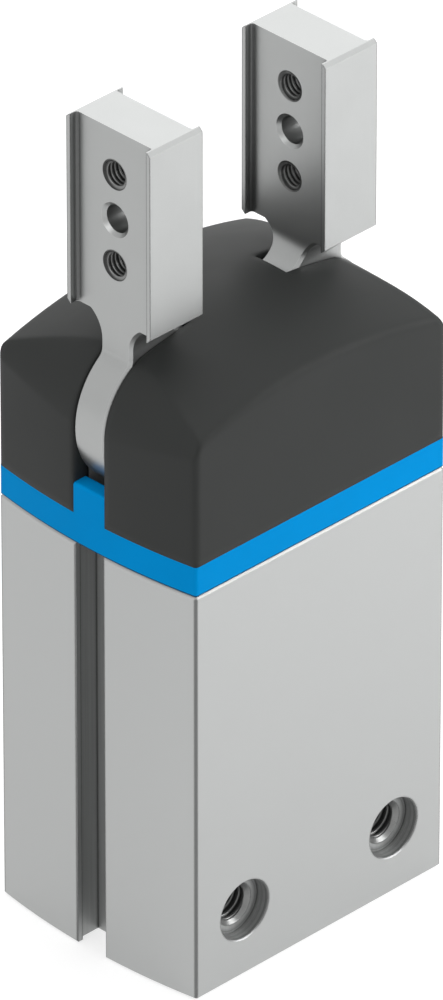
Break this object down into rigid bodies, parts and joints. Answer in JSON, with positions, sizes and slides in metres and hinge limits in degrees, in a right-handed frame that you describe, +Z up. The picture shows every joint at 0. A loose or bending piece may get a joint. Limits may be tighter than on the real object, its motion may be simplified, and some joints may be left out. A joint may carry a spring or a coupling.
{
  "type": "pneumatic radial gripper",
  "caption": "Air-driven radial gripper: slotted aluminium body, spacer plate, moulded cap and jaws that swing outwards a quarter turn on a rack drive.",
  "frame": {"origin": "centre of the body's bottom face", "axes": "+Z up the body to the jaws, +X the way the right-hand jaw opens, -Y the front face with the two mounting holes"},
  "size_m": [0.0492, 0.0364, 0.1241],
  "materials": {
    "anodised_aluminium": "satin anodised",
    "plain_aluminium": "machined",
    "jaw_steel": "fine satin",
    "hardened_steel": "ground",
    "spring_steel": "oiled black",
    "bearing_bronze": "machined",
    "magnet": "matt, bonded magnet",
    "seal_rubber": "matt",
    "blue_plastic": "fine matt",
    "dark_plastic": "fine matt"
  },
  "bodies": {
    "body": {"housing": "anodised_aluminium", "end_cover": "anodised_aluminium", "end_cover_o_ring": "seal_rubber", "retaining_ring": "spring_steel", "lower_bumper": "seal_rubber", "upper_bumper": "seal_rubber", "rod_seal": "seal_rubber", "rod_bush": "bearing_bronze", "jaw_carrier": "plain_aluminium", "carrier_screws": "hardened_steel", "locating_pins": "hardened_steel", "pivot_pin_left": "hardened_steel", "pivot_pin_right": "hardened_steel", "spacer_plate": "blue_plastic", "cover_cap": "dark_plastic"},
    "piston": {"piston": "plain_aluminium", "piston_seal_lower": "seal_rubber", "piston_seal_upper": "seal_rubber", "piston_magnet": "magnet", "piston_nut": "hardened_steel", "rack_rod": "hardened_steel"},
    "jaw_left": {"jaw_left": "jaw_steel"},
    "jaw_right": {"jaw_right": "jaw_steel"}
  },
  "joints": [
    {"name": "piston_slide", "type": "slide", "parent": "body", "child": "piston", "axis": [0, 0, 1], "range_m": [0, 0.00754]},
    {"name": "jaw_left_swing", "type": "hinge", "parent": "body", "child": "jaw_left", "pos_m": [-0.0131, 0, 0.0802], "axis": [0, -1, 0], "range_deg": [0, 90]},
    {"name": "jaw_right_swing", "type": "hinge", "parent": "body", "child": "jaw_right", "pos_m": [0.0131, 0, 0.0802], "axis": [0, 1, 0], "range_deg": [0, 90]}
  ],
  "couplings": [
    {"joint": "jaw_left_swing", "follows": "piston_slide", "rad_per_m": 208.33},
    {"joint": "jaw_right_swing", "follows": "piston_slide", "rad_per_m": 208.33}
  ]
}
